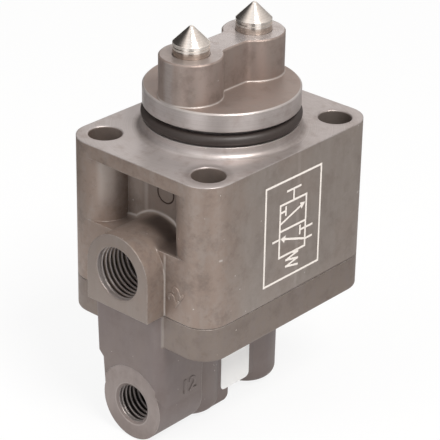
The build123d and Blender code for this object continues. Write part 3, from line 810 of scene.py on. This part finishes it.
def turned_about(piece, axis, steps, rise=0.0, turns=1):
    """Sweeps the outline of a piece round an axis, as a ring or as a helix that rises each turn."""
    sweep = piece.modifiers.new("sweep", "SCREW")
    sweep.axis = axis
    sweep.angle = math.tau
    sweep.screw_offset = rise
    sweep.iterations = turns
    sweep.steps = steps
    sweep.render_steps = steps
    sweep.use_merge_vertices = rise == 0.0
    sweep.merge_threshold = 0.001 * MM
    apply_modifiers(piece)


def close_ends(piece, sides=0):
    """Fills the open ends of a swept piece, where it has any, and turns its faces outward."""
    pick(piece)
    bpy.ops.object.mode_set(mode="EDIT")
    bpy.ops.mesh.select_all(action="SELECT")
    if sides:
        bpy.ops.mesh.fill_holes(sides=sides)
    bpy.ops.mesh.normals_make_consistent(inside=False)
    bpy.ops.object.mode_set(mode="OBJECT")


def smooth_faces(piece, degrees):
    """Shades a piece smooth, apart from edges that turn by more than the given degrees."""
    pick(piece)
    bpy.ops.object.shade_smooth_by_angle(angle=math.radians(degrees))


def port_thread(name, centre, side, major, turns):
    """A helical ridge inside a port, made from one flank profile swept round the axis."""
    deselect()
    bpy.ops.mesh.primitive_plane_add(size=1.0)
    ridge = bpy.context.object
    ridge.scale = (thread_depth, thread_pitch * ridge_foot_share, 1.0)
    settle(ridge, name)
    bpy.ops.object.mode_set(mode="EDIT")
    bpy.ops.mesh.select_all(action="DESELECT")
    bpy.ops.object.mode_set(mode="OBJECT")
    for edge in ridge.data.edges:
        ends = [ridge.data.vertices[index].co.x for index in edge.vertices]
        edge.select = max(ends) < 0.0
    bpy.ops.object.mode_set(mode="EDIT")
    bpy.ops.mesh.select_mode(type="EDGE")
    crest = (-thread_depth / 2, 0.0, 0.0)
    bpy.ops.transform.resize(value=(1.0, ridge_crest_share, 1.0), center_override=crest)
    bpy.ops.mesh.select_all(action="SELECT")
    bpy.ops.transform.translate(value=(major - thread_depth / 2 + ridge_sunk, 0.0, 0.0))
    bpy.ops.mesh.delete(type="ONLY_FACE")
    bpy.ops.object.mode_set(mode="OBJECT")
    turned_about(ridge, "Y", 48, thread_pitch, turns)
    close_ends(ridge, 4)
    low = min(vertex.co.y for vertex in ridge.data.vertices)
    ridge.location = (centre[0], centre[1] - low, centre[2])
    if side > 0:
        ridge.location.y -= (turns + 1) * thread_pitch
    settle(ridge, name)
    smooth_faces(ridge, 35.0)
    return ridge


def coil_spring(name, node):
    """A coil spring in the place of a node."""
    low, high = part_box(node)
    mean_r = (high[0] - low[0]) / 2 - spring_wire_r
    rise = high[2] - low[2] - 2 * spring_wire_r
    deselect()
    bpy.ops.mesh.primitive_circle_add(
        vertices=12, radius=spring_wire_r, location=(mean_r, 0.0, 0.0), rotation=(math.pi / 2, 0.0, 0.0)
    )
    coil = settle(bpy.context.object, name)
    turned_about(coil, "Z", 40, rise / spring_turns, spring_turns)
    bottom = min(vertex.co.z for vertex in coil.data.vertices)
    coil.location = (0.0, (low[1] + high[1]) / 2, low[2] - bottom)
    settle(coil, name)
    close_ends(coil, 12)
    smooth_faces(coil, 40.0)
    return coil


def mouth_land(name, side, face, height, section):
    """A turned ring of the given section (radius, rise over the face) at the mouth of a port."""
    mesh = bpy.data.meshes.new(name)
    points = [(radius, face + side * rise, 0.0) for radius, rise in section]
    mesh.from_pydata(points, [(index, index + 1) for index in range(len(points) - 1)], [])
    land = bpy.data.objects.new(name, mesh)
    bpy.context.scene.collection.objects.link(land)
    turned_about(land, "Y", 96)
    land.location.z = height
    settle(land, name)
    close_ends(land)
    smooth_faces(land, 30.0)
    return land


def lay_on_face(piece, middle, angle, layer):
    """Lays a flat piece on the right face at (y, z), each layer a little prouder than the last."""
    rise = (0.012 + 0.003 * layer) * MM
    piece.matrix_world = (
        Matrix.Translation((flange_half_x + rise, *middle))
        @ Matrix(((0, 0, 1, 0), (1, 0, 0, 0), (0, 1, 0, 0), (0, 0, 0, 1)))
        @ Matrix.Rotation(angle, 4, "Z")
    )
    return settle(piece, "stroke")


# Etched frame and valve symbol, in the right face's own (y, z) from the frame's centre
frame_width = 22.0 * MM
frame_height = 28.4 * MM
frame_centre = (0.0, -20.9 * MM)
frame_line = 0.62 * MM
box_half = 5.2 * MM
box_tall = 7.6 * MM
arrow_head = 1.9 * MM
arrow_gap = 0.5 * MM
stop_length = 2.2 * MM
stop_half = 1.1 * MM
port_line = 2.6 * MM
coil_half = 2.3 * MM
coil_first = 0.6 * MM
coil_step = 0.95 * MM
pin_length = 3.0 * MM
pin_gap = 0.4 * MM
pin_half = 2.6 * MM


def etched_mark():
    """A plain frame round the general circuit symbol of a 3/2 valve with a pin and a spring."""
    pieces = []

    def placed(piece, middle, angle):
        at = (frame_centre[0] + middle[0], frame_centre[1] + middle[1])
        pieces.append(lay_on_face(piece, at, angle, len(pieces)))

    def stroke(a, b):
        deselect()
        bpy.ops.mesh.primitive_plane_add(size=1.0)
        strip = bpy.context.object
        strip.scale = (math.dist(a, b) + frame_line, frame_line, 1.0)
        bpy.ops.object.transform_apply(scale=True)
        middle = ((a[0] + b[0]) / 2, (a[1] + b[1]) / 2)
        placed(strip, middle, math.atan2(b[1] - a[1], b[0] - a[0]))

    def path(points):
        for a, b in zip(points, points[1:]):
            stroke(a, b)

    def rectangle(left, low, right, high):
        path([(left, low), (right, low), (right, high), (left, high), (left, low)])

    def arrow(a, b):
        """A line with a filled head whose point is at b."""
        length = math.dist(a, b)
        toward = ((b[0] - a[0]) / length, (b[1] - a[1]) / length)
        stroke(a, (b[0] - toward[0] * arrow_head, b[1] - toward[1] * arrow_head))
        deselect()
        bpy.ops.mesh.primitive_circle_add(vertices=3, radius=arrow_head * 0.66, fill_type="NGON")
        centre = (b[0] - toward[0] * arrow_head * 0.62, b[1] - toward[1] * arrow_head * 0.62)
        placed(bpy.context.object, centre, math.atan2(toward[1], toward[0]) - math.pi / 2)

    def closed_port(side, height):
        """A short line in from the side of a box, with a bar across its end."""
        end = side * (box_half - stop_length)
        path([(side * box_half, height), (end, height)])
        path([(end, height - stop_half), (end, height + stop_half)])

    far = box_tall * 0.72
    close = box_tall * 0.28
    rectangle(-frame_width / 2, -frame_height / 2, frame_width / 2, frame_height / 2)
    rectangle(-box_half, -box_tall, box_half, 0.0)
    rectangle(-box_half, 0.0, box_half, box_tall)
    arrow((box_half, -far), (-box_half + arrow_gap, -close))
    closed_port(1, -close)
    arrow((-box_half, close), (box_half - arrow_gap, far))
    closed_port(-1, far)
    for side, height in ((-1, -close), (1, -far), (1, -close)):
        stroke((side * box_half, height), (side * (box_half + port_line), height))
    coil = [(0.0, -box_tall)]
    for turn in range(5):
        coil.append((coil_half * (-1) ** turn, -box_tall - coil_first - coil_step * turn))
    path(coil)
    pin_top = box_tall + pin_length + pin_gap
    stroke((0.0, box_tall), (0.0, box_tall + pin_length))
    stroke((-pin_half, pin_top), (pin_half, pin_top))
    return join(pieces, "etched_mark")


# Cast marks
number_rise = 0.16 * MM
number_round = 0.07 * MM
number_swell = 0.05 * MM
ejector_r = 2.8 * MM
ejector_wire_r = 0.2 * MM
ejector_x = 1.7 * MM
ejector_z = -11.4 * MM
facing_front = Matrix.Rotation(math.pi / 2, 4, "X")
facing_right = Matrix.Rotation(math.pi / 2, 4, "Z") @ facing_front


def cast_number(name, text, size, place, turn):
    """Plain raised digits on a cast wall."""
    deselect()
    bpy.ops.object.text_add()
    letters = bpy.context.object
    letters.data.body = text
    letters.data.size = size
    letters.data.align_x = "CENTER"
    letters.data.align_y = "CENTER"
    letters.data.extrude = number_rise
    letters.data.bevel_depth = number_round
    letters.data.bevel_resolution = 2
    letters.data.offset = number_swell
    bpy.ops.object.convert(target="MESH")
    letters = bpy.context.object
    letters.matrix_world = Matrix.Translation(place) @ turn
    return settle(letters, name)


def ring_mark():
    """The round ring that an ejector pin left on the pocket's back wall."""
    deselect()
    bpy.ops.mesh.primitive_torus_add(
        major_radius=ejector_r,
        minor_radius=ejector_wire_r,
        major_segments=48,
        minor_segments=8,
        location=(ejector_x, -pocket_wall_y - 0.02 * MM, ejector_z),
        rotation=(math.pi / 2, 0.0, 0.0),
    )
    ring = settle(bpy.context.object, "ejector_ring")
    bpy.ops.object.shade_smooth()
    return ring


def dress_solids(materials):
    """Gives each solid of the frame the material of its slot."""
    slots = {part["node"]: part["material_slot"] for part in frame["record"]["subparts"]}
    for node, solid in frame["nodes"].items():
        material = materials[slots[node]]
        if not solid.data.materials:
            solid.data.materials.append(material)
        for index in range(len(solid.data.materials)):
            solid.data.materials[index] = material


# Sections of the lands at the ports' mouths, as (radius, rise over the face)
outlet_land = (
    (outlet_r + 0.3 * MM, 0.012 * MM),
    (mouth_land_r + 0.16 * MM, 0.012 * MM),
    (mouth_land_r, -0.16 * MM),
    (mouth_land_r, -1.5 * MM),
    (outlet_r + 0.02 * MM, -1.9 * MM),
)
supply_land = (
    (supply_r + 0.45 * MM, 0.012 * MM),
    (supply_r + 0.12 * MM, 0.012 * MM),
    (supply_land_r, -0.55 * MM),
    (supply_land_r, -1.1 * MM),
    (supply_r + 0.02 * MM, -1.5 * MM),
)


def outlet_thread(train, side):
    """The thread of the outlet port on one side, with the land at its mouth."""
    mouth = (0.0, side * (outlet_face_y - 0.6 * MM), outlet_z)
    thread = port_thread(f"{train}_outlet_thread", mouth, side, outlet_r, 8)
    land = mouth_land(f"{train}_outlet_land", side, side * outlet_face_y, outlet_z, outlet_land)
    return join([thread, land], f"{train}_outlet_thread")


def supply_thread():
    """The thread of the supply port, with the cone at its mouth."""
    mouth = (0.0, -supply_face_y + 0.5 * MM, supply_z)
    thread = port_thread("supply_thread", mouth, -1, supply_r, 6)
    land = mouth_land("supply_land", -1, -supply_face_y, supply_z, supply_land)
    return join([thread, land], "supply_thread")


def fit_spring(name, material):
    """Puts a coil in the place of the rigid spring, and hides the rigid one."""
    node = f"{name}_return_spring"
    coil = coil_spring(f"{name}_coil_spring", node)
    dress(coil, material, "housing")
    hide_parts(node)
    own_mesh(coil)


place_camera()
white_studio()
studio_floor()
for name, settings in lights.items():
    area_light(name, *settings)
for name, settings in cards.items():
    reflection_card(name, *settings)

materials = {
    "upper_casting": cast_metal(
        "upper_casting", cast_upper_colour, cast_upper_brown, cast_upper_pale, turned_dull_colour, upper_zones
    ),
    "lower_casting": cast_metal(
        "lower_casting", cast_lower_colour, cast_lower_brown, cast_lower_pale, spot_face_colour, lower_zones
    ),
    "gasket_sheet": plain_rubber("gasket_sheet", gasket_colour),
    "ring_rubber": ring_rubber(),
    "screw_steel": plain_metal("screw_steel", screw_colour, 0.30, 1.5 * MM),
    "label_film": label_film(),
    "ring_groove": plain_metal("ring_groove", ring_groove_shade_colour, 0.5, 1.0 * MM),
    "plunger_steel": turned_steel(),
    "seal_rubber": plain_rubber("seal_rubber", seal_colour),
    "sleeve_brass": plain_metal("sleeve_brass", sleeve_colour, 0.28, 2.0 * MM),
    "spool_aluminium": plain_metal("spool_aluminium", spool_colour, 0.25, 2.0 * MM),
    "seat_brass": plain_metal("seat_brass", seat_colour, 0.32, 2.0 * MM),
    "spring_steel": plain_metal("spring_steel", spring_colour, 0.25, 1.0 * MM),
}
upper_metal = materials["upper_casting"]
lower_metal = materials["lower_casting"]
dress_solids(materials)

for train, side in (("front", -1), ("rear", 1)):
    dress(outlet_thread(train, side), upper_metal, "housing")
    fit_spring(train, materials["spring_steel"])
dress(supply_thread(), lower_metal, "housing")
dress(etched_mark(), etched_paint(), "housing")

port_number_place = (14.9 * MM, -column_front_y, -32.9 * MM)
port_number_turn = facing_front @ Matrix.Rotation(math.radians(57.0), 4, "Z")
port_number = cast_number("port_number", "22", 5.5 * MM, port_number_place, port_number_turn)
dress(port_number, upper_metal, "housing")
block_number_place = (10.2 * MM, -22.7 * MM, -65.8 * MM)
block_number = cast_number("block_number", "12", 6.0 * MM, block_number_place, facing_right)
dress(block_number, lower_metal, "housing")
# The ejector's ring is dressed in dark metal, as painted shade of the mark
dress(ring_mark(), materials["ring_groove"], "housing")

bpy.context.scene.view_settings.view_transform = "Standard"
